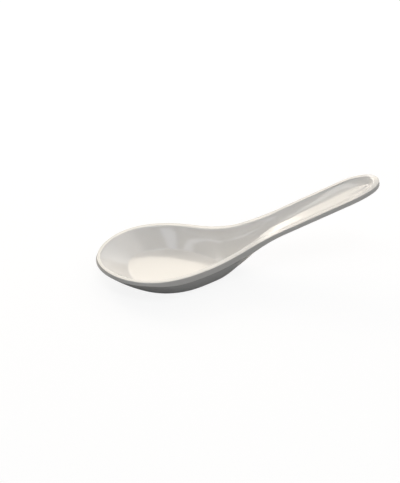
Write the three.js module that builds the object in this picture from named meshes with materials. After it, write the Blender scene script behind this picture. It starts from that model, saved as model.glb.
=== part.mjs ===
// A moulded melamine soup spoon: an oval bowl with a flat floor and a broad handle with a shallow groove.
// Millimetres, +Z up. +X runs from the bowl to the handle, and the spoon is symmetric about the plane y = 0.
// The origin is the middle of the flat foot that the spoon rests on. Below, distances along the spoon are
// measured from the tip of the bowl, and heights from the table.
import * as THREE from "three";

// Overall sizes
const LENGTH = 142;
const BOWL_WIDTH = 49;
const BOWL_WIDEST_AT = 30.6;
const HANDLE_WIDTH = 19;
const NECK_AT = 92.9; // the sides have drawn in to the handle's width
const HANDLE_ROUND = 17.9; // length of the rounded end
const RIM_HEIGHT = 13.1; // at the bowl's widest place
const RIM_ANGLE = 2.9; // degrees, of the rim's rise from the tip to the neck
const HANDLE_ANGLE = 25.3; // degrees above the table
const END_DROP = 1.8; // the handle's end curves down from that line
const RISE_AT = 65.9; // the rim's line and the handle's line cross here
const RISE_LENGTH = 21.2; // and the bend between them is this long

// Fullness of the outline's curves: 0.55 is an ellipse, less is more pointed
const TIP_FULLNESS = 0.475;
const SIDE_FULLNESS = 0.58;
const SHOULDER_FULLNESS = 0.343;
const NECK_FULLNESS = 0.456;
const END_FULLNESS = 0.61;

// Rim and lip
const RIM_TOP = 2.3; // from the outer face to where the rim's inner edge starts to round over
const RIM_EDGE = 1.6; // drop and width of that rounded inner edge
const RIM_END = 0.5; // the rim is this much wider round the handle's end
const LIP_TIP = 1.8; // height of the lip's outer face at the tip
const LIP_BACK = 3.3; // beside the back of the bowl
const LIP_HANDLE = 2.3; // and along the handle
const LIP_FADE = 18; // length over which it changes from one to the next
const LIP_CORNER = 0.75; // width of the lip's rounded upper corner
const LIP_ROUND = 0.25; // share of the lip's height that this corner rounds
const LIP_FLARE = 0.45; // below that the lip's face leans out by this much
const LIP_UNDERCUT = 0.5; // the bowl's outside starts this far in from the lip

// Inside: flat floor of the bowl, running out into the groove of the handle
const FLOOR_THICKNESS = 3;
const FLOOR_FRONT = 16.5;
const FLOOR_WIDTH = 29.1;
const FLOOR_WIDEST_AT = 35.4;
const FLOOR_FULLNESS = 0.7;
const FLOOR_BACK = 62.6; // the floor comes to a point here
const GROOVE_WIDTH = 2; // flat bottom of the groove
const GROOVE_DEPTH = 4.2; // at the neck
const GROOVE_END_DEPTH = 2.1; // at the handle's end, below its straight line
const GROOVE_END = 6.5; // from the handle's end to the end of the groove's flat bottom
const GROOVE_RAMP_ANGLE = 37; // of the groove's bottom, from the floor's point up to the handle
const GROOVE_BEND = 5;
const CREASE_KEEPS = 58; // behind here the crease beside the floor fades into a smooth groove

// Where the walls turn, as shares of their way across and of their height: equal shares are a straight wall
const WALL_ACROSS = 0.5;
const WALL_UP = 0.5;
const GROOVE_ACROSS = 0.5;
const GROOVE_UP = 0;
const HULL_ACROSS = 0.55;
const HULL_UP = 0.45;

// Outside: the foot, the heel behind it and the underside of the handle
const FOOT_FRONT = 13.2;
const FOOT_WIDTH = 35.3;
const FOOT_WIDEST_AT = 36.7;
const FOOT_FULLNESS = 0.51;
const HEEL_SHOULDER = 19.5; // the foot keeps its width this far behind its widest place
const HEEL_NECK = 29.7; // and the handle's underside keeps its own this far in front of the neck
const HEEL_AT = 65.4; // the heel rises from the foot here
const HEEL_ANGLE = 38;
const HEEL_BEND = 10;
const HEEL_ROUND = 6; // the back of the foot is rounded: on the centreline the heel starts this much later
const KEEL_ANGLE = 45; // and is steeper there
const HANDLE_DEPTH = 6.8; // rim to underside
const UNDER_WIDTH = 5; // flat underside of the handle
const UNDER_END = 5; // from the handle's end to the end of that flat

// The clear overlay that lies in a rebate of the body
const GLAZE = 0.3;
const GLAZE_EDGE = 1.3; // bare width of the body outside the overlay
const BOND = 0.05;

// Facets along each of the outline's four stretches, and across a wall
const STEPS = [14, 18, 8, 12];
const WALL_STEPS = 4;

const RIM_SLOPE = Math.tan(THREE.MathUtils.degToRad(RIM_ANGLE));
const HANDLE_SLOPE = Math.tan(THREE.MathUtils.degToRad(HANDLE_ANGLE));
const RISE_HEIGHT = RIM_HEIGHT + RIM_SLOPE * (RISE_AT - BOWL_WIDEST_AT);
const KEEL_AT = HEEL_AT + HEEL_ROUND;
const FOOT_BACK = KEEL_AT - HEEL_BEND / 2;
const LIP_TURN = LIP_FLARE / (1 - LIP_ROUND); // the lip's face, carried up, meets the rim's top this far in
const FOOT_MIDDLE = (FOOT_FRONT + FOOT_BACK) / 2;

const plan = (x, y) => new THREE.Vector2(x, y);

// A level line that turns up to a slope. The turn is a parabola of the given length about its middle.
function bend(x, middle, length, slope) {
  const turn = THREE.MathUtils.clamp(x - middle + length / 2, 0, length);
  const straight = Math.max(x - middle - length / 2, 0);
  return slope * (turn ** 2 / (2 * length) + straight);
}

// The rim rises gently from the tip, bends up to the handle's line and curves down at the handle's end.
function rimHeight(x) {
  const toEnd = Math.max(1 - (LENGTH - x) / HANDLE_ROUND, 0);
  const line = RIM_HEIGHT + RIM_SLOPE * (x - BOWL_WIDEST_AT);
  return line + bend(x, RISE_AT, RISE_LENGTH, HANDLE_SLOPE - RIM_SLOPE) - END_DROP * toEnd ** 2;
}

// The lip is deepest along the back half of the bowl, up to the neck.
function lipDepth(x) {
  const back = THREE.MathUtils.smoothstep(x, BOWL_WIDEST_AT - LIP_FADE / 2, BOWL_WIDEST_AT + LIP_FADE / 2);
  const handle = THREE.MathUtils.smoothstep(x, NECK_AT - LIP_FADE, NECK_AT);
  const bowl = THREE.MathUtils.lerp(LIP_TIP, LIP_BACK, back);
  return THREE.MathUtils.lerp(bowl, LIP_HANDLE, handle);
}

// A level line that ramps up and then runs along the handle at a given depth below its rim.
function rampHeight(level, rampAt, angle, length, depth) {
  const slope = Math.tan(THREE.MathUtils.degToRad(angle));
  const turn = slope - HANDLE_SLOPE;
  const meetsAt = (RISE_HEIGHT - HANDLE_SLOPE * RISE_AT - depth - level + slope * rampAt) / turn;
  return (x) => level + bend(x, rampAt, length, slope) - bend(x, meetsAt, length, turn);
}

const RAMP_AT = FLOOR_BACK + GROOVE_BEND / 2;
const GROOVE_FADE = (GROOVE_DEPTH - GROOVE_END_DEPTH) / (LENGTH - NECK_AT);
const floorRamp = rampHeight(FLOOR_THICKNESS, RAMP_AT, GROOVE_RAMP_ANGLE, GROOVE_BEND, GROOVE_DEPTH);
const underHeight = rampHeight(0, HEEL_AT, HEEL_ANGLE, HEEL_BEND, HANDLE_DEPTH);
const keelHeight = rampHeight(0, KEEL_AT, KEEL_ANGLE, HEEL_BEND, HANDLE_DEPTH);

// The groove is deepest at the neck and gets shallower along the handle.
const floorHeight = (x) => floorRamp(x) + bend(x, NECK_AT, GROOVE_BEND, GROOVE_FADE);

// One side of an outline seen from above, in four stretches: from the tip to the widest place, along the
// waist to the neck, along the handle, and round its end.
function outline({ front, widestAt, halfBowl, tip, side, waist, halfHandle, end }) {
  const roundAt = LENGTH - HANDLE_ROUND;
  return [
    new THREE.CubicBezierCurve(
      plan(front, 0),
      plan(front, tip * halfBowl),
      plan(widestAt - side * (widestAt - front), halfBowl),
      plan(widestAt, halfBowl),
    ),
    waist,
    new THREE.LineCurve(plan(NECK_AT, halfHandle), plan(roundAt, halfHandle)),
    new THREE.CubicBezierCurve(
      plan(roundAt, halfHandle),
      plan(roundAt + END_FULLNESS * (end - roundAt), halfHandle),
      plan(end, END_FULLNESS * halfHandle),
      plan(end, 0),
    ),
  ];
}

// A waist that leaves the bowl and joins the handle along the spoon, held straight for the given lengths.
function smoothWaist(widestAt, halfBowl, shoulder, neck, halfHandle) {
  return new THREE.CubicBezierCurve(
    plan(widestAt, halfBowl),
    plan(widestAt + shoulder, halfBowl),
    plan(NECK_AT - neck, halfHandle),
    plan(NECK_AT, halfHandle),
  );
}

const WAIST = NECK_AT - BOWL_WIDEST_AT;
const rimWaist = smoothWaist(
  BOWL_WIDEST_AT,
  BOWL_WIDTH / 2,
  SHOULDER_FULLNESS * WAIST,
  NECK_FULLNESS * WAIST,
  HANDLE_WIDTH / 2,
);
const heelWaist = smoothWaist(FOOT_WIDEST_AT, FOOT_WIDTH / 2, HEEL_SHOULDER, HEEL_NECK, UNDER_WIDTH / 2);

// Behind its widest place the floor keeps pace with the rim and narrows on a parabola to the groove's width.
class FloorTail extends THREE.Curve {
  getPoint(u) {
    const lead = (FLOOR_WIDEST_AT - BOWL_WIDEST_AT) * (1 - u);
    const x = rimWaist.getPoint(u).x + lead;
    const share = Math.min((x - FLOOR_WIDEST_AT) / (FLOOR_BACK - FLOOR_WIDEST_AT), 1);
    return plan(x, THREE.MathUtils.lerp(FLOOR_WIDTH / 2, GROOVE_WIDTH / 2, share ** 2));
  }
}

const rimOutline = outline({
  front: 0,
  widestAt: BOWL_WIDEST_AT,
  halfBowl: BOWL_WIDTH / 2,
  tip: TIP_FULLNESS,
  side: SIDE_FULLNESS,
  waist: rimWaist,
  halfHandle: HANDLE_WIDTH / 2,
  end: LENGTH,
});
const floorOutline = outline({
  front: FLOOR_FRONT,
  widestAt: FLOOR_WIDEST_AT,
  halfBowl: FLOOR_WIDTH / 2,
  tip: FLOOR_FULLNESS,
  side: FLOOR_FULLNESS,
  waist: new FloorTail(),
  halfHandle: GROOVE_WIDTH / 2,
  end: LENGTH - GROOVE_END,
});
const footOutline = outline({
  front: FOOT_FRONT,
  widestAt: FOOT_WIDEST_AT,
  halfBowl: FOOT_WIDTH / 2,
  tip: FOOT_FULLNESS,
  side: FOOT_FULLNESS,
  waist: heelWaist,
  halfHandle: UNDER_WIDTH / 2,
  end: LENGTH - UNDER_END,
});

// Stations along the outlines: a stretch and a place on it, from 0 to 1.
const stations = STEPS.flatMap((steps, stretch) =>
  Array.from({ length: stretch === 3 ? steps + 1 : steps }, (_, i) => ({ stretch, u: i / steps })),
);

const point = (p, z) => new THREE.Vector3(p.x, p.y, z);

// The direction square to the rim's outline, into the spoon. On the plane of symmetry it lies in that plane.
function inwardAt({ stretch, u }) {
  const along = rimOutline[stretch].getTangent(u);
  const onPlane = rimOutline[stretch].getPoint(u).y === 0;
  return onPlane ? plan(Math.sign(along.y), 0) : plan(along.y, -along.x);
}

// A point in from the rim's outline and down from its top.
function rimPoint(station, inset, drop) {
  const p = rimOutline[station.stretch].getPoint(station.u);
  const inward = inwardAt(station);
  const height = rimHeight(p.x) - drop;
  return point(p.addScaledVector(inward, inset), height);
}

// How far a station is round the handle's end: 0 to 1, eased.
const endShare = ({ stretch, u }) => (stretch === 3 ? THREE.MathUtils.smoothstep(u, 0, 1) : 0);

// Points of a curved wall between its lower and upper edges, which turns at the given shares across and up.
function wall(lower, upper, across, up) {
  const middle = new THREE.Vector3(
    THREE.MathUtils.lerp(lower.x, upper.x, across),
    THREE.MathUtils.lerp(lower.y, upper.y, across),
    THREE.MathUtils.lerp(lower.z, upper.z, up),
  );
  return new THREE.QuadraticBezierCurve3(lower, middle, upper).getPoints(WALL_STEPS);
}

// The upper surface at a station, from the centreline out to the edge of the overlay.
function upperPoints(station, edge) {
  const p = floorOutline[station.stretch].getPoint(station.u);
  const floorEdge = point(p, floorHeight(p.x));
  const centre = floorEdge.clone().setY(0);
  const top = RIM_TOP + RIM_END * endShare(station);
  const grooveShare = THREE.MathUtils.smoothstep(p.x, CREASE_KEEPS, NECK_AT);
  const across = THREE.MathUtils.lerp(WALL_ACROSS, GROOVE_ACROSS, grooveShare);
  const up = THREE.MathUtils.lerp(WALL_UP, GROOVE_UP, grooveShare);
  const wallTop = rimPoint(station, top + RIM_EDGE, RIM_EDGE);
  return [
    centre,
    ...wall(floorEdge, wallTop, across, up),
    rimPoint(station, top, 0),
    rimPoint(station, edge, 0),
  ];
}

const lowered = (points, drop) => points.map((p) => p.clone().setZ(p.z - drop));

// A point of the underside, at a share of the way out from the centreline. The section there is a parabola.
function footPoint(p, share) {
  const out = p.y === 0 ? 1 : share;
  return point(plan(p.x, p.y * out), THREE.MathUtils.lerp(keelHeight(p.x), underHeight(p.x), out ** 2));
}

// The rest of the body's section: rebate step, lip, bowl's outside, foot and back to the centreline.
function lowerPoints(station) {
  const p = footOutline[station.stretch].getPoint(station.u);
  const lip = lipDepth(rimPoint(station, 0, 0).x);
  const round = LIP_ROUND * lip;
  const lipFoot = rimPoint(station, LIP_UNDERCUT, lip + LIP_UNDERCUT);
  return [
    rimPoint(station, GLAZE_EDGE, 0),
    rimPoint(station, LIP_CORNER, 0),
    rimPoint(station, (LIP_CORNER + 2 * LIP_TURN + LIP_FLARE) / 4, round / 4),
    rimPoint(station, LIP_FLARE, round),
    rimPoint(station, 0, lip),
    ...wall(footPoint(p, 1), lipFoot, HULL_ACROSS, HULL_UP).reverse(),
    footPoint(p, 0.5),
    footPoint(p, 0),
  ];
}

const bodySection = (station) => [
  ...lowered(upperPoints(station, GLAZE_EDGE), GLAZE + BOND),
  ...lowerPoints(station),
];

function glazeSection(station) {
  const upper = upperPoints(station, GLAZE_EDGE + BOND);
  return [...upper, ...lowered(upper, GLAZE).reverse()];
}

// Skins one half of the spoon through its sections and mirrors it into a closed solid.
function solid(sections) {
  const corners = [];
  const triangle = (a, b, c) => {
    if (a.equals(b) || b.equals(c) || c.equals(a)) return;
    for (const p of [a, b, c]) corners.push(p.x - FOOT_MIDDLE, p.y, p.z);
    for (const p of [a, c, b]) corners.push(p.x - FOOT_MIDDLE, -p.y, p.z);
  };
  for (let i = 0; i + 1 < sections.length; i++) {
    const [here, next] = [sections[i], sections[i + 1]];
    for (let j = 0; j + 1 < here.length; j++) {
      const [a, b, c, d] = [here[j], next[j], next[j + 1], here[j + 1]];
      // Split on the shorter diagonal, so that surfaces that lie on each other have the same facets.
      const split = a.distanceTo(c) < b.distanceTo(d) ? [[a, b, c], [a, c, d]] : [[a, b, d], [b, c, d]];
      for (const [p, q, r] of split) triangle(p, q, r);
    }
  }
  const geometry = new THREE.BufferGeometry();
  geometry.setAttribute("position", new THREE.Float32BufferAttribute(corners, 3));
  geometry.computeVertexNormals();
  return geometry;
}

// Opaque white moulding compound, pressed first
const compound = new THREE.MeshStandardMaterial({ color: 0xf2f0ea, roughness: 0.35, metalness: 0 });
const body = new THREE.Mesh(solid(stations.map(bodySection)), compound);
body.name = "spoon_body";

// Glossy resin overlay, pressed over the food side
const overlay = new THREE.MeshStandardMaterial({ color: 0xf7f5ee, roughness: 0.12, metalness: 0 });
const glaze = new THREE.Mesh(solid(stations.map(glazeSection)), overlay);
glaze.name = "glaze_overlay";

const spoon = new THREE.Group();
spoon.add(body, glaze);

export default spoon;
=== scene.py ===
# %% [markdown]
# # A melamine soup spoon
# The real spoon is one moulding. White melamine compound is pressed hot in a polished steel mould,
# and a thin clear resin glaze is pressed over its upper face in a second stroke of the same press.
# So there are two pieces to show, the moulded body and the glaze on it. The imported CAD model is
# loaded first. It is the fixed frame: it gives the pieces their place.

# %% Load the frame
import math

import bmesh
import bpy
import numpy as np
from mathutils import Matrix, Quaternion, Vector


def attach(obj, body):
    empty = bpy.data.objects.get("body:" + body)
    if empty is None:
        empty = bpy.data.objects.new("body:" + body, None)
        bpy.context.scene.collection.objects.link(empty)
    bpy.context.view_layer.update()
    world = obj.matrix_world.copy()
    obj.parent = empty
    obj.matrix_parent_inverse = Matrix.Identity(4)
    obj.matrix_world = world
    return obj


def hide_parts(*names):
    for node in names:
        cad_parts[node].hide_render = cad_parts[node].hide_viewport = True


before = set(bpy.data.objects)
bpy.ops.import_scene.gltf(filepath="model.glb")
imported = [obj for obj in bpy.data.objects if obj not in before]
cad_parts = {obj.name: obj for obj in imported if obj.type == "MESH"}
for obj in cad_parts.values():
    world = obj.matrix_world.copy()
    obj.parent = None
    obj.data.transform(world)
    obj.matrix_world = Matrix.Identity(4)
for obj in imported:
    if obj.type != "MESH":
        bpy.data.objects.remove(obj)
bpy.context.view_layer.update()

MM = 0.001
print("CAD nodes:", sorted(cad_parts))

# %% [markdown]
# ## The camera
# A camera can be fitted by hand or from sizes that are known. Here the spoon's tip, its handle's
# end and the two sides of its bowl fix most of it: the handle goes to the right and a little away,
# and the camera was rolled by a few degrees. How steeply the picture looks down is an estimate. A
# long lens keeps the far rim nearly as wide as the near one.

# %% Place the camera
CAMERA_AZIMUTH = math.radians(-12.5)
CAMERA_ELEVATION = math.radians(37.4)
CAMERA_ROLL = math.radians(3.35)
CAMERA_DISTANCE = 572 * MM
CAMERA_TARGET = Vector((12.5, 0, 17.75)) * MM
LENS_MM = 85


def away(azimuth, elevation):
    """Unit direction from the spoon at an azimuth, 0 towards the eye's side, and an elevation."""
    level = math.cos(elevation)
    return Vector((math.sin(azimuth) * level, -math.cos(azimuth) * level, math.sin(elevation)))


camera_data = bpy.data.cameras.new("picture_camera")
camera_data.lens = LENS_MM
camera = bpy.data.objects.new("picture_camera", camera_data)
bpy.context.scene.collection.objects.link(camera)
bpy.context.scene.camera = camera
to_camera = away(CAMERA_AZIMUTH, CAMERA_ELEVATION)
camera.location = CAMERA_TARGET + CAMERA_DISTANCE * to_camera
level_camera = to_camera.to_track_quat("Z", "Y")
camera.rotation_euler = (level_camera @ Quaternion((0, 0, 1), CAMERA_ROLL)).to_euler()
print("camera at, mm:", [round(value / MM, 1) for value in camera.location])

# %% [markdown]
# ## Stations along the spoon
# A spoon could be modelled as a coarse cage under a Subdivision Surface modifier. Here the sizes
# are known, so the surface is worked out instead: one profile is carried along the spoon, and it
# changes as it goes. A station is a place on that way. The spoon's outline has four stretches:
# from the tip to the widest place of the bowl, along the waist to the neck, along the handle, and
# round its end. Each stretch runs from 0 to 1, and the other outlines, of the floor and of the
# foot, are cut into the same stretches, so a station is one place on each.

# %% Set out the stations
STEPS = (92, 132, 44, 72)

stretch_places = [np.arange(steps) / steps for steps in STEPS]
stretch_places[-1] = np.linspace(0, 1, STEPS[-1] + 1)
TIP, WAIST, HANDLE, END = stretch_places
STATIONS = sum(len(places) for places in stretch_places)


def ease(value, low, high):
    """0 below low, 1 above high, and 3t^2 - 2t^3 between them."""
    t = np.clip((value - low) / (high - low), 0, 1)
    return t * t * (3 - 2 * t)


end_share = np.concatenate([0 * TIP, 0 * WAIST, 0 * HANDLE, ease(END, 0, 1)])
print("stations:", STATIONS)

# %% [markdown]
# ## The rim seen from above
# An outline like this could be drawn as a Bezier curve object. As a formula it takes few numbers,
# and most of them are sizes that can be measured on the spoon. Lengths are in millimetres from the
# tip of the bowl. A fullness is a share: the larger it is, the squarer the curve.

# %% Outline of the rim
LENGTH = 142
BOWL_WIDTH = 49
BOWL_WIDEST_AT = 30.6
HANDLE_WIDTH = 19
NECK_AT = 92.9
HANDLE_ROUND = 17.9
TIP_FULLNESS = 0.475
SIDE_FULLNESS = 0.58
SHOULDER_FULLNESS = 0.343
NECK_FULLNESS = 0.456
END_FULLNESS = 0.61


def cubic(places, *points):
    """Cubic curve: its four points weighed by (1-u)^3, 3u(1-u)^2, 3u^2(1-u) and u^3."""
    u = places[:, None]
    a, b, c, d = (np.array(point, float) for point in points)
    return (1 - u) ** 3 * a + 3 * u * (1 - u) ** 2 * b + 3 * u**2 * (1 - u) * c + u**3 * d


def smooth_waist(widest_at, half_bowl, shoulder, neck, half_handle):
    """Cubic from bowl to handle. It leaves and arrives along the spoon, over given lengths."""
    return cubic(
        WAIST,
        (widest_at, half_bowl),
        (widest_at + shoulder, half_bowl),
        (NECK_AT - neck, half_handle),
        (NECK_AT, half_handle),
    )


def outline(front, widest_at, half_bowl, tip, side, waist, half_handle, end):
    """One side, (stations, 2): a cubic bowl, the waist, a straight handle and a cubic end."""
    bowl = cubic(
        TIP,
        (front, 0),
        (front, tip * half_bowl),
        (widest_at - side * (widest_at - front), half_bowl),
        (widest_at, half_bowl),
    )
    round_at = LENGTH - HANDLE_ROUND
    handle = np.stack([NECK_AT + (round_at - NECK_AT) * HANDLE, half_handle + 0 * HANDLE], 1)
    round_end = cubic(
        END,
        (round_at, half_handle),
        (round_at + END_FULLNESS * (end - round_at), half_handle),
        (end, END_FULLNESS * half_handle),
        (end, 0),
    )
    return np.concatenate([bowl, waist, handle, round_end])


waist_length = NECK_AT - BOWL_WIDEST_AT
rim_waist = smooth_waist(
    BOWL_WIDEST_AT,
    BOWL_WIDTH / 2,
    SHOULDER_FULLNESS * waist_length,
    NECK_FULLNESS * waist_length,
    HANDLE_WIDTH / 2,
)
rim_outline = outline(
    0,
    BOWL_WIDEST_AT,
    BOWL_WIDTH / 2,
    TIP_FULLNESS,
    SIDE_FULLNESS,
    rim_waist,
    HANDLE_WIDTH / 2,
    LENGTH,
)
print("rim reaches, mm:", rim_outline.max(0))

# %% [markdown]
# ## The floor seen from above
# The floor of the bowl comes to a point towards the handle, and goes on as the narrow bottom of
# the handle's groove. Its outline is worked out twice, with that point for the edge of the floor
# and with a rounder one for the wall, so that the wall turns round the point without a fold.

# %% Outlines of the floor and of the wall
FLOOR_FRONT = 16.5
FLOOR_WIDTH = 29.1
FLOOR_WIDEST_AT = 35.4
FLOOR_FULLNESS = 0.7
FLOOR_BACK = 62.6
FLOOR_POINT_ROUND = 1
WALL_POINT_ROUND = 14
GROOVE_WIDTH = 2
GROOVE_END = 6.5  # from the handle's end to the end of the groove's flat bottom


def floor_tail(point_round):
    """Behind its widest place the floor keeps pace with the rim, and its half width falls on a
    parabola. Where that would pass below the groove's half width, a hyperbola of the given size
    rounds the point."""
    x = rim_waist[:, 0] + (FLOOR_WIDEST_AT - BOWL_WIDEST_AT) * (1 - WAIST)
    share = (x - FLOOR_WIDEST_AT) / (FLOOR_BACK - FLOOR_WIDEST_AT)
    over = (FLOOR_WIDTH - GROOVE_WIDTH) / 2 * (1 - share**2)
    rounding = point_round * ease(share, 0, 1)
    return np.stack([x, GROOVE_WIDTH / 2 + (over + np.hypot(over, rounding)) / 2], 1)


floor_outline, wall_outline = (
    outline(
        FLOOR_FRONT,
        FLOOR_WIDEST_AT,
        FLOOR_WIDTH / 2,
        FLOOR_FULLNESS,
        FLOOR_FULLNESS,
        floor_tail(point_round),
        GROOVE_WIDTH / 2,
        LENGTH - GROOVE_END,
    )
    for point_round in (FLOOR_POINT_ROUND, WALL_POINT_ROUND)
)
print("floor and groove reach, mm:", floor_outline.max(0))

# %% [markdown]
# ## The foot seen from above
# The bowl stands on a flat foot. Its outline goes on along the handle as the edge of a narrow
# underside, so that the hull is one surface from the tip to the handle's end.

# %% Outline of the foot
FOOT_FRONT = 13.2
FOOT_WIDTH = 35.3
FOOT_WIDEST_AT = 36.7
FOOT_FULLNESS = 0.51
HEEL_SHOULDER = 19.5  # the foot keeps its width this far behind its widest place
HEEL_NECK = 29.7  # and the handle's underside keeps its own this far before the neck
UNDER_WIDTH = 5
UNDER_END = 5  # from the handle's end to the end of its flat underside

heel_waist = smooth_waist(
    FOOT_WIDEST_AT,
    FOOT_WIDTH / 2,
    HEEL_SHOULDER,
    HEEL_NECK,
    UNDER_WIDTH / 2,
)
foot_outline = outline(
    FOOT_FRONT,
    FOOT_WIDEST_AT,
    FOOT_WIDTH / 2,
    FOOT_FULLNESS,
    FOOT_FULLNESS,
    heel_waist,
    UNDER_WIDTH / 2,
    LENGTH - UNDER_END,
)
print("foot and underside reach, mm:", foot_outline.max(0))

# %% [markdown]
# ## Height of the rim
# Seen from the side, the rim rises gently from the tip and bends up along the handle. The turn is
# a parabola of a given length, so that no crease shows where a gentle slope becomes a steep one.

# %% Height of the rim
RIM_HEIGHT = 13.1
RIM_ANGLE = math.radians(2.9)
HANDLE_ANGLE = math.radians(25.3)
END_DROP = 1.8
RISE_AT = 65.9
RISE_LENGTH = 21.2

RIM_SLOPE = math.tan(RIM_ANGLE)
HANDLE_SLOPE = math.tan(HANDLE_ANGLE)


def bend(x, middle, length, slope):
    """Level line that turns up to a slope on a parabola of the given length about its middle."""
    turn = np.clip(x - middle + length / 2, 0, length)
    straight = np.maximum(x - middle - length / 2, 0)
    return slope * (turn**2 / (2 * length) + straight)


def rim_height(x):
    """Gentle slope from the tip, a bend up to the handle's slope, and a square drop at the end."""
    line = RIM_HEIGHT + RIM_SLOPE * (x - BOWL_WIDEST_AT)
    to_end = np.maximum(1 - (LENGTH - x) / HANDLE_ROUND, 0)
    return line + bend(x, RISE_AT, RISE_LENGTH, HANDLE_SLOPE - RIM_SLOPE) - END_DROP * to_end**2


print("rim at the handle's end, mm:", round(float(rim_height(LENGTH)), 2))

# %% [markdown]
# ## Heights of the floor and of the underside
# The floor of the bowl and the flat foot are level, then ramp up and run along the handle below
# its rim. The groove of the handle is deepest at the neck and gets shallower towards the end. The
# middle of the heel starts to rise later than its edges, which rounds the back of the foot and
# keeps the spoon's weight well over it.

# %% Heights of the floor and of the underside
FLOOR_THICKNESS = 3
GROOVE_DEPTH = 4.2  # at the neck
GROOVE_END_DEPTH = 2.1  # at the handle's end, below its straight line
GROOVE_RAMP_ANGLE = math.radians(37)
GROOVE_BEND = 5
HEEL_AT = 65.4
HEEL_ANGLE = math.radians(38)
HEEL_BEND = 10
HEEL_ROUND = 6  # in the middle the heel starts this much later
KEEL_ANGLE = math.radians(45)
HANDLE_DEPTH = 6.8  # from the rim to the underside

RISE_HEIGHT = RIM_HEIGHT + RIM_SLOPE * (RISE_AT - BOWL_WIDEST_AT)


def ramp_height(x, level, ramp_at, angle, length, depth):
    """Level line that ramps up at an angle, then runs along the handle, a depth below its rim."""
    slope = math.tan(angle)
    turn = slope - HANDLE_SLOPE
    meets_at = (RISE_HEIGHT - HANDLE_SLOPE * RISE_AT - depth - level + slope * ramp_at) / turn
    return level + bend(x, ramp_at, length, slope) - bend(x, meets_at, length, turn)


def floor_height(x):
    """Ramp from the floor's point, and a groove that gets shallower behind the neck."""
    ramp_at = FLOOR_BACK + GROOVE_BEND / 2
    ramp = ramp_height(x, FLOOR_THICKNESS, ramp_at, GROOVE_RAMP_ANGLE, GROOVE_BEND, GROOVE_DEPTH)
    fade = (GROOVE_DEPTH - GROOVE_END_DEPTH) / (LENGTH - NECK_AT)
    return ramp + bend(x, NECK_AT, GROOVE_BEND, fade)


def under_height(x):
    """Ramp of the heel's edges, from the table to the underside of the handle."""
    return ramp_height(x, 0, HEEL_AT, HEEL_ANGLE, HEEL_BEND, HANDLE_DEPTH)


def keel_height(x):
    """Ramp of the heel's middle, which starts later than that of its edges and is steeper."""
    return ramp_height(x, 0, HEEL_AT + HEEL_ROUND, KEEL_ANGLE, HEEL_BEND, HANDLE_DEPTH)


depth_at_neck = rim_height(NECK_AT) - floor_height(NECK_AT)
print("groove's depth at the neck, mm:", round(float(depth_at_neck), 2))

# %% [markdown]
# ## Height of the lip
# The lip is the upright band round the rim. It could be extruded from the rim's edge at one
# height. But the real one is narrow at the tip, widest beside the back of the bowl, and narrower
# again along the handle, so its height is worked out from the place along the spoon.

# %% Height of the lip
LIP_TIP = 1.8
LIP_BACK = 3.3
LIP_HANDLE = 2.3
LIP_FADE = 18


def lip_depth(x):
    """Eased from the tip's height to that beside the back of the bowl, then to the handle's."""
    back = ease(x, BOWL_WIDEST_AT - LIP_FADE / 2, BOWL_WIDEST_AT + LIP_FADE / 2)
    bowl = LIP_TIP + (LIP_BACK - LIP_TIP) * back
    return bowl + (LIP_HANDLE - bowl) * ease(x, NECK_AT - LIP_FADE, NECK_AT)


lip = lip_depth(rim_outline[:, 0])
print("lip is", round(lip.min(), 2), "to", round(lip.max(), 2), "mm high")

# %% [markdown]
# ## Corners of the profile
# The profile is a polygon with rounded corners: middle of the floor, edge of the floor, wall, rim,
# lip, hull, edge of the foot, middle of the foot. Each corner is one array with a row for every
# station. A point of the rim is found by going in from the outline, square to it, and down from
# the rim's top.

# %% Ways to place a corner
along = np.cumsum(np.hypot(*np.diff(rim_outline, axis=0, prepend=rim_outline[:1]).T))
tangent = np.gradient(rim_outline, along, axis=0)
tangent /= np.linalg.norm(tangent, axis=1, keepdims=True)
inward = np.stack([tangent[:, 1], -tangent[:, 0]], 1)
inward[[0, -1]] = (1, 0), (-1, 0)


def rim_point(inset, drop):
    """Outline plus inward times inset, at the height of the rim there less drop."""
    inset = np.broadcast_to(inset, STATIONS)
    height = rim_height(rim_outline[:, 0]) - drop
    return np.column_stack([rim_outline + inward * inset[:, None], height])


def edge_point(plan, height):
    """An outline lifted to a height that depends on the place along the spoon."""
    return np.column_stack([plan, height(plan[:, 0])])


def middle_point(plan, height, heart, end_heart):
    """The same height on the plane of symmetry. Near both ends of the outline the places stop
    short of it, so that the profile fans out from there and the rounded edge can go round."""
    x = np.clip(plan[:, 0], plan[0, 0] + heart, plan[-1, 0] - end_heart)
    return np.column_stack([x, 0 * x, height(x)])


def between(lower, upper, across, up):
    """Point at one share of the way across and another share of the way up."""
    shares = np.column_stack(np.broadcast_arrays(across, across, up))
    return lower + (upper - lower) * shares


print("length of the rim on one side, mm:", round(float(along[-1]), 1))

# %% [markdown]
# ## Corners of the inside
# The wall of the bowl is straight. Towards the handle the crease between floor and wall fades, and
# the walls become the two sides of a round groove. Both are one curve that a corner pulls: on the
# straight line between its ends the corner leaves the wall straight, and lower down it hollows it.
# The rim has a flat top.

# %% Corners of the floor and of the wall
RIM_TOP = 2.3
RIM_EDGE = 1.6
RIM_END = 0.5  # the rim's top gets wider by this round the handle's end
WALL_TURN = (0.5, 0.5)  # shares of the way across and up
GROOVE_TURN = (0.5, 0)
CREASE_KEEPS = 58  # behind here the floor's edge fades into a smooth groove
FLOOR_HEART = 12  # the tip's profiles start this far inside the floor
GROOVE_HEART = 3

groove_share = ease(floor_outline[:, 0], CREASE_KEEPS, NECK_AT)
wall_turn = np.outer(1 - groove_share, WALL_TURN) + np.outer(groove_share, GROOVE_TURN)
rim_top = RIM_TOP + RIM_END * end_share

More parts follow.
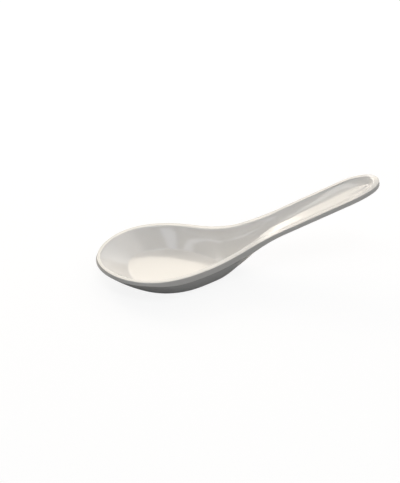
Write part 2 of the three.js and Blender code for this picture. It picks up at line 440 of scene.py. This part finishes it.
floor_middle = middle_point(floor_outline, floor_height, FLOOR_HEART, GROOVE_HEART)
floor_edge = edge_point(floor_outline, floor_height)
wall_top = rim_point(rim_top + RIM_EDGE, RIM_EDGE)
wall_middle = between(edge_point(wall_outline, floor_height), wall_top, *wall_turn.T)
rim_inner = rim_point(rim_top, 0)

steepness = (wall_top - wall_middle) / (wall_top - wall_middle)[:, 2:]
rim_corner = wall_top + RIM_EDGE * steepness
print("wall is", round(float(steepness[len(TIP), 1]), 2), "mm out for 1 mm up at the widest place")

# %% [markdown]
# ## Corners of the outside
# The lip's face leans out a little, as it must to come out of a mould. Below it the hull steps in
# by a small undercut and runs down to the edge of the foot.

# %% Corners of the lip, the hull and the foot
LIP_CORNER = 0.75  # the rounding of the lip's top starts this far in from the outline
LIP_ROUND = 0.25  # and ends at this share of the lip's height
LIP_FLARE = 0.45  # from there the lip's face leans out by this
LIP_UNDERCUT = 0.5
HULL_TURN = (0.55, 0.45)
KEEL_TURN = (0.5, 1)
FOOT_HEART = 14

lip_turn = rim_point(LIP_FLARE / (1 - LIP_ROUND), 0)  # the lip's face would meet the top here
lip_face = rim_point(LIP_FLARE, LIP_ROUND * lip)
lip_foot = rim_point(0, lip)
hull_top = rim_point(LIP_UNDERCUT, lip + LIP_UNDERCUT)
foot_edge = edge_point(foot_outline, under_height)
hull_middle = between(foot_edge, hull_top, *HULL_TURN)
foot_middle = middle_point(foot_outline, keel_height, FOOT_HEART, UNDER_END)
foot_keel = between(foot_edge, foot_middle, *KEEL_TURN)
print("lip's lower edge at the tip, mm above the table:", round(float(lip_foot[0, 2]), 2))

# %% [markdown]
# ## Rounded corners
# A Bevel modifier could round the edges of a coarse model, but on a profile that is carried along
# a path the roundings are easier to keep even when they are part of the profile. Each one is a
# short curve that leaves one side and arrives at the next without a crease.

# %% Helpers for roundings
CURVE_STEPS = 10
WALL_STEPS = 22
FLAT_STEPS = 9
SIDE_STEPS = 4
MOST_OF_A_SIDE = 0.48
NO_LENGTH = 1e-9


def towards(start, goal, distance):
    """Point at a distance from start on the way to goal, but not past about half of that way."""
    way = goal - start
    length = np.linalg.norm(way, axis=1)
    reach = np.minimum(distance, MOST_OF_A_SIDE * length)
    return start + way * (reach / np.maximum(length, NO_LENGTH))[:, None]


def curve(start, corner, goal, steps):
    """Points weighed by (1-v)^2 at the start, 2v(1-v) at the corner and v^2 at the goal."""
    v = np.linspace(0, 1, steps + 1)[:, None, None]
    return (1 - v) ** 2 * start + 2 * v * (1 - v) * corner + v**2 * goal


def flat(start, goal, steps):
    """Points from start to goal that lie closer together near both ends: shares are sin^2."""
    v = np.sin(np.linspace(0, np.pi / 2, steps + 1))[:, None, None] ** 2
    return start + v * (goal - start)


print("points on a rounding:", CURVE_STEPS + 1)

# %% [markdown]
# ## The food side
# The upper face runs from the middle of the floor up the wall and over the rounded inner edge of
# the rim. A pressed part has no sharp inside corner, so a small fillet lies between floor and
# wall. In the light it shows as a thin line round the floor.

# %% Profile of the food side
FLOOR_FILLET = 0.9

floor_ends = towards(floor_edge, floor_middle, FLOOR_FILLET)
wall_starts = towards(floor_edge, wall_middle, FLOOR_FILLET)


def food_side(rim_edge):
    """The upper face, from the middle of the floor out to a place on the top of the rim."""
    return np.concatenate(
        [
            flat(floor_middle, floor_ends, FLAT_STEPS),
            curve(floor_ends, floor_edge, wall_starts, CURVE_STEPS),
            curve(wall_starts, wall_middle, wall_top, WALL_STEPS),
            curve(wall_top, rim_corner, rim_inner, CURVE_STEPS),
            flat(rim_inner, rim_edge, SIDE_STEPS),
        ]
    )


print("points on the upper face's profile:", len(food_side(rim_inner)))

# %% [markdown]
# ## The outer side
# The lip is rounded at the top, because it touches the mouth. Its lower edge is sharper, where the
# two halves of the mould meet, and the edge of the foot is the roundest.

# %% Profile of the outer side
LIP_EDGE = 0.25
LIP_CREASE = 0.4
FOOT_FILLET = 1.6

corner_starts = rim_point(LIP_CORNER, 0)
lip_ends = towards(lip_foot, lip_face, LIP_EDGE)
crease_starts = towards(lip_foot, hull_top, LIP_EDGE)
crease_ends = towards(hull_top, lip_foot, LIP_CREASE)
hull_starts = towards(hull_top, hull_middle, LIP_CREASE)
hull_ends = towards(foot_edge, hull_middle, FOOT_FILLET)
foot_starts = towards(foot_edge, foot_keel, FOOT_FILLET)


def outer_side(rim_edge):
    """The rest of the profile: over the lip and down the hull to the middle of the foot."""
    return np.concatenate(
        [
            flat(rim_edge, corner_starts, SIDE_STEPS),
            curve(corner_starts, lip_turn, lip_face, CURVE_STEPS),
            flat(lip_face, lip_ends, SIDE_STEPS),
            curve(lip_ends, lip_foot, crease_starts, CURVE_STEPS),
            curve(crease_ends, hull_top, hull_starts, CURVE_STEPS),
            curve(hull_starts, hull_middle, hull_ends, WALL_STEPS),
            curve(hull_ends, foot_edge, foot_starts, CURVE_STEPS),
            curve(foot_starts, foot_keel, foot_middle, FLAT_STEPS),
        ]
    )


print("points on the rest of the profile:", len(outer_side(rim_inner)))

# %% [markdown]
# ## The two pieces
# The glaze lies in a shallow rebate of the body, so the body's upper face is the same profile a
# little lower, with a step up to the bare lip. One half of each piece is skinned through its
# profiles and mirrored. A Mirror modifier could do that too, but with the points mirrored here the
# piece can be measured at once. The points on the plane of symmetry then lie on each other, and
# merging them closes the skin.

# %% Skin the body and the glaze
GLAZE = 0.3
BOND = 0.05
GLAZE_EDGE = 1.3
MERGE = 0.0005
FOOT_BACK = HEEL_AT + HEEL_ROUND - HEEL_BEND / 2
FOOT_MIDDLE = (FOOT_FRONT + FOOT_BACK) / 2


def lowered(profile, drop):
    """The same points, lower by drop."""
    return profile - np.array((0, 0, drop))


def skinned_piece(name, profile):
    """Mesh through profiles (points, stations, 3) and their mirror image, with square faces."""
    points, stations = profile.shape[:2]
    half = (profile - np.array((FOOT_MIDDLE, 0, 0))).reshape(-1, 3) * MM
    verts = np.concatenate([half, half * (1, -1, 1)])
    index = np.arange(points * stations).reshape(points, stations)
    corners = [index[:-1, :-1], index[:-1, 1:], index[1:, 1:], index[1:, :-1]]
    squares = np.stack(corners, -1).reshape(-1, 4)
    faces = np.concatenate([squares, squares[:, ::-1] + points * stations])
    mesh = bpy.data.meshes.new(name)
    mesh.from_pydata(verts.tolist(), [], faces.tolist())
    shell = bmesh.new()
    shell.from_mesh(mesh)
    bmesh.ops.remove_doubles(shell, verts=shell.verts, dist=MERGE * MM)
    bmesh.ops.dissolve_degenerate(shell, edges=shell.edges, dist=MERGE * MM)
    if shell.calc_volume(signed=True) < 0:
        bmesh.ops.reverse_faces(shell, faces=shell.faces)
    open_edges = sum(not edge.is_manifold for edge in shell.edges)
    volume = shell.calc_volume(signed=True) / MM**3
    shell.to_mesh(mesh)
    shell.free()
    mesh.shade_smooth()
    piece = bpy.data.objects.new(name, mesh)
    bpy.context.scene.collection.objects.link(piece)
    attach(piece, "root")
    print(name, "faces:", len(mesh.polygons), "open edges:", open_edges)
    print(name, "volume, mm3:", round(volume, 1))
    return piece


rim_edge = rim_point(GLAZE_EDGE, 0)
upper = food_side(rim_edge)
body_profile = np.concatenate([lowered(upper, GLAZE + BOND), outer_side(rim_edge)])
glaze_profile = np.concatenate([upper, lowered(upper, GLAZE)[::-1]])
body = skinned_piece("moulded_body", body_profile)
glaze = skinned_piece("glaze_skin", glaze_profile)
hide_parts("spoon_body")
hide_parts("glaze_overlay")

# %% [markdown]
# ## Colours and nodes
# Colours are written as they look on a screen, in sRGB hex. The shader works in linear light, so
# one function turns them. A second small function adds a node, sets its inputs and links it.

# %% Helpers for materials


def linear(colour):
    """sRGB hex to linear light: each channel c becomes ((c + 0.055) / 1.055)^2.4, or c / 12.92
    where it is dark."""
    channels = np.array([int(colour[i : i + 2], 16) for i in (1, 3, 5)]) / 255
    light = np.where(channels > 0.04045, ((channels + 0.055) / 1.055) ** 2.4, channels / 12.92)
    return (*light.tolist(), 1)


def add_node(tree, kind, inputs=None, **settings):
    """A node of this kind, with its settings. An input is a value, or another node's output."""
    made = tree.nodes.new(kind)
    for name, value in settings.items():
        setattr(made, name, value)
    for name, value in (inputs or {}).items():
        if isinstance(value, bpy.types.NodeSocket):
            tree.links.new(value, made.inputs[name])
        else:
            made.inputs[name].default_value = value
    return made


def new_material(name):
    """An empty node material and its tree."""
    material = bpy.data.materials.new(name)
    material.use_nodes = True
    material.node_tree.nodes.clear()
    return material, material.node_tree


print("middle grey on a screen, in linear light:", round(linear("#808080")[0], 3))

# %% [markdown]
# ## Melamine glaze, pressed against polished steel
# Melamine resin is hard and clear, with an index of about 1.6, and it takes the polish of the
# mould. So the upper face has sharp, weak reflections over an even white. It could be made as a
# clear shell over the white body. But the layer is thin and bonded, and the eye sees white right
# under the gloss, so one opaque shader shows the same and exports better. What keeps it from
# looking like paint is small: the compound is clouded where cellulose fibres lie closer together,
# the polish is not quite even, and the face is not quite flat, because the resin shrinks as it
# cures.

# %% Glaze material
RESIN_IOR = 1.6
CLOUD_MM, CLOUD_OCTAVES = 14, 3
FIBRE_MM, FIBRE_OCTAVES = 1.2, 2  # real fibres are finer, and are drawn coarser so that they show
FIBRE_SHARE = 0.35
POLISH_MM, POLISH_OCTAVES = 12, 4
SHRINK_MM, SHRINK_OCTAVES = 9, 1
SHRINK_HEIGHT = 0.006
NOISE_LOW, NOISE_HIGH = 0.3, 0.7  # most values of a noise pattern lie between these
COLOUR_A, COLOUR_B, COLOUR_RESULT = 6, 7, 2  # places of a mix node's colour sockets
GLAZE_PALE, GLAZE_DEEP = "#f1efec", "#eceae5"
GLAZE_SMOOTH, GLAZE_ROUGH = 0.08, 0.11

PATTERNS = (
    (CLOUD_MM, CLOUD_OCTAVES),
    (FIBRE_MM, FIBRE_OCTAVES),
    (POLISH_MM, POLISH_OCTAVES),
    (SHRINK_MM, SHRINK_OCTAVES),
)


def melamine(name, pale, deep, smooth, rough):
    """White compound with clouds, fibre flecks, a polish from smooth to rough, and faint waves.
    Each pattern is noise whose scale is 1 / size, with a number of finer octaves."""
    material, tree = new_material(name)
    place = add_node(tree, "ShaderNodeTexCoord").outputs["Object"]
    clouds, fibres, polish, waves = (
        add_node(
            tree,
            "ShaderNodeTexNoise",
            {"Vector": place, "Scale": 1 / (size * MM), "Detail": octaves},
        ).outputs["Fac"]
        for size, octaves in PATTERNS
    )
    mottle = add_node(
        tree,
        "ShaderNodeMix",
        {"Factor": FIBRE_SHARE, "A": clouds, "B": fibres},
        data_type="FLOAT",
    )
    tint = add_node(
        tree,
        "ShaderNodeMix",
        {"Factor": mottle.outputs["Result"], COLOUR_A: linear(pale), COLOUR_B: linear(deep)},
        data_type="RGBA",
    )
    gloss = add_node(
        tree,
        "ShaderNodeMapRange",
        {
            "Value": polish,
            "From Min": NOISE_LOW,
            "From Max": NOISE_HIGH,
            "To Min": smooth,
            "To Max": rough,
        },
    )
    shrink = add_node(tree, "ShaderNodeBump", {"Height": waves, "Distance": SHRINK_HEIGHT * MM})
    shader = add_node(
        tree,
        "ShaderNodeBsdfPrincipled",
        {
            "Base Color": tint.outputs[COLOUR_RESULT],
            "Roughness": gloss.outputs["Result"],
            "IOR": RESIN_IOR,
            "Normal": shrink.outputs["Normal"],
        },
    )
    add_node(tree, "ShaderNodeOutputMaterial", {"Surface": shader.outputs["BSDF"]})
    return material


glaze_finish = melamine(
    "melamine_glaze_pressed",
    GLAZE_PALE,
    GLAZE_DEEP,
    GLAZE_SMOOTH,
    GLAZE_ROUGH,
)
glaze.data.materials.append(glaze_finish)
print(glaze_finish.name, "nodes:", len(glaze_finish.node_tree.nodes))

# %% [markdown]
# ## Melamine compound, moulded
# The lip, the hull and the foot are the bare compound. It has the same white, but without the
# clear resin over it the fibres reach the surface, so the polish is softer.

# %% Body material
BODY_PALE, BODY_DEEP = "#efede8", "#e8e6e0"
BODY_SMOOTH, BODY_ROUGH = 0.22, 0.27

body_finish = melamine(
    "melamine_compound_moulded",
    BODY_PALE,
    BODY_DEEP,
    BODY_SMOOTH,
    BODY_ROUGH,
)
body.data.materials.append(body_finish)
print(body_finish.name, "nodes:", len(body_finish.node_tree.nodes))

# %% [markdown]
# ## The floor
# The background is plain white. A floor that really was so white would throw light up under the
# bowl, where the picture is dark. So the floor is a middle grey to the light that it scatters. To
# the eye most of its white is a glow, and the rest is shaded, so that the spoon's shadow stays but
# is faint. In reflections it is white paper in the light of the lamps, because the hull of the
# bowl mirrors the dark place under it.

# %% Floor
FLOOR_SIZE = 6
FLOOR_GREY = "#747474"
FLOOR_GLOW = 0.88
FLOOR_SHADED = "#6c6c6c"
WHITE = "#ffffff"


def seen_directly(tree):
    """1 for rays from the eye, in reflections and through clear things, 0 for scattered light."""
    ray = add_node(tree, "ShaderNodeLightPath").outputs
    seen = add_node(
        tree,
        "ShaderNodeMath",
        {0: ray["Is Camera Ray"], 1: ray["Is Glossy Ray"]},
        operation="MAXIMUM",
    )
    either = add_node(
        tree,
        "ShaderNodeMath",
        {0: seen.outputs[0], 1: ray["Is Transmission Ray"]},
        operation="MAXIMUM",
    )
    return either.outputs[0]


def floor_material():
    """A glow and a shaded part to the eye, white paper in reflections, grey to scattered light."""
    material, tree = new_material("studio_floor")
    glow = add_node(tree, "ShaderNodeEmission", {"Color": linear(WHITE), "Strength": FLOOR_GLOW})
    shaded = add_node(tree, "ShaderNodeBsdfDiffuse", {"Color": linear(FLOOR_SHADED)})
    paper = add_node(tree, "ShaderNodeBsdfDiffuse", {"Color": linear(WHITE)})
    grey = add_node(tree, "ShaderNodeBsdfDiffuse", {"Color": linear(FLOOR_GREY)})
    direct = add_node(tree, "ShaderNodeAddShader", {0: glow.outputs[0], 1: shaded.outputs[0]})
    mirrored = add_node(tree, "ShaderNodeLightPath").outputs["Is Glossy Ray"]
    shown = add_node(
        tree,
        "ShaderNodeMixShader",
        {"Fac": mirrored, 1: direct.outputs[0], 2: paper.outputs[0]},
    )
    mixed = add_node(
        tree,
        "ShaderNodeMixShader",
        {"Fac": seen_directly(tree), 1: grey.outputs[0], 2: shown.outputs[0]},
    )
    below = add_node(tree, "ShaderNodeNewGeometry").outputs["Backfacing"]
    clear = add_node(tree, "ShaderNodeBsdfTransparent")
    one_sided = add_node(
        tree,
        "ShaderNodeMixShader",
        {"Fac": below, 1: mixed.outputs[0], 2: clear.outputs[0]},
    )
    add_node(tree, "ShaderNodeOutputMaterial", {"Surface": one_sided.outputs[0]})
    return material


reach = FLOOR_SIZE / 2
floor_mesh = bpy.data.meshes.new("studio_floor")
floor_corners = [(-reach, -reach, 0), (reach, -reach, 0), (reach, reach, 0), (-reach, reach, 0)]
floor_mesh.from_pydata(floor_corners, [], [(0, 1, 2, 3)])
floor_mesh.materials.append(floor_material())
floor = bpy.data.objects.new("studio_floor", floor_mesh)
bpy.context.scene.collection.objects.link(floor)
print("floor", FLOOR_SIZE, "m square")

# %% [markdown]
# ## The surroundings
# Beyond the floor the world is white as well, to the eye and in reflections. To scattered light it
# is a dark grey, so that the lamps make the light and the hollows of the spoon stay shaded.

# %% World
SKY_GREY = "#272727"

world = bpy.data.worlds.new("studio")
world.use_nodes = True
world_tree = world.node_tree
world_tree.nodes.clear()
bpy.context.scene.world = world
sky = add_node(world_tree, "ShaderNodeBackground", {"Color": linear(SKY_GREY), "Strength": 1})
backdrop = add_node(world_tree, "ShaderNodeBackground", {"Color": linear(WHITE), "Strength": 1})
around = add_node(
    world_tree,
    "ShaderNodeMixShader",
    {"Fac": seen_directly(world_tree), 1: sky.outputs[0], 2: backdrop.outputs[0]},
)
add_node(world_tree, "ShaderNodeOutputWorld", {"Surface": around.outputs[0]})
print("world nodes:", len(world_tree.nodes))

# %% [markdown]
# ## Studio light
# A glossy white thing shows what it mirrors. Soft boxes, most of them warm, stand behind the
# spoon: the floor of the bowl and its rim mirror the wide ones to the camera, and the handle,
# which slopes, mirrors the one further left. Two small strong boxes almost overhead light the
# walls and draw a thin line along the edge of the floor. Weak wide boxes to the right light the
# inside of the tip. On the near side two small ones show as faint patches on the far wall, and a
# low one lights the lip. Each line gives the azimuth and the elevation in degrees, the width and
# the height in metres, the radiance and the colour.

# %% Lamps
LAMP_DISTANCE = 0.9


def soft_box(name, azimuth, elevation, width, height, radiance, colour):
    """Area lamp facing the spoon. A lamp of radiance L and area A gives a power of pi * L * A."""
    lamp = bpy.data.lights.new(name, "AREA")
    lamp.shape = "RECTANGLE"
    lamp.size = width
    lamp.size_y = height
    lamp.energy = math.pi * radiance * width * height
    lamp.color = linear(colour)[:3]
    box = bpy.data.objects.new(name, lamp)
    direction = away(math.radians(azimuth), math.radians(elevation))
    box.location = CAMERA_TARGET + LAMP_DISTANCE * direction
    box.rotation_euler = direction.to_track_quat("Z", "Y").to_euler()
    bpy.context.scene.collection.objects.link(box)
    print(name, "power, W:", round(lamp.energy, 2))


soft_box("key_box", 3, 72, 0.3, 0.25, 5.6, "#f4f8ff")
soft_box("left_top_box", 285, 72, 0.3, 0.3, 2.6, "#fbfaf6")
soft_box("right_box", 60, 50, 0.6, 0.5, 1.05, "#fffaf4")
soft_box("back_top_box", 180, 60, 0.85, 0.5, 1.2, "#fff5e8")
soft_box("back_box", 176, 36, 0.95, 0.3, 2.3, "#fff4e0")
soft_box("back_left_box", 213, 30, 0.35, 0.36, 5.2, "#fff8ee")
soft_box("back_low_box", 184, 18, 1.0, 0.2, 1.95, "#fbfbff")
soft_box("side_box", 112, 22, 0.8, 0.6, 1.07, "#f6faff")
soft_box("front_box", 345, 25, 0.2, 0.22, 1.75, "#e4ecff")
soft_box("front_left_box", 324, 24, 0.18, 0.1, 2.1, "#f4f8ff")
soft_box("front_low_box", 350, 9, 0.9, 0.15, 0.75, "#f4f8ff")

# %% [markdown]
# ## Finish
# The picture is shown without any film look, so that a colour renders about as it is written.

# %% Finish
bpy.context.scene.view_settings.view_transform = "Standard"
bpy.context.view_layer.update()
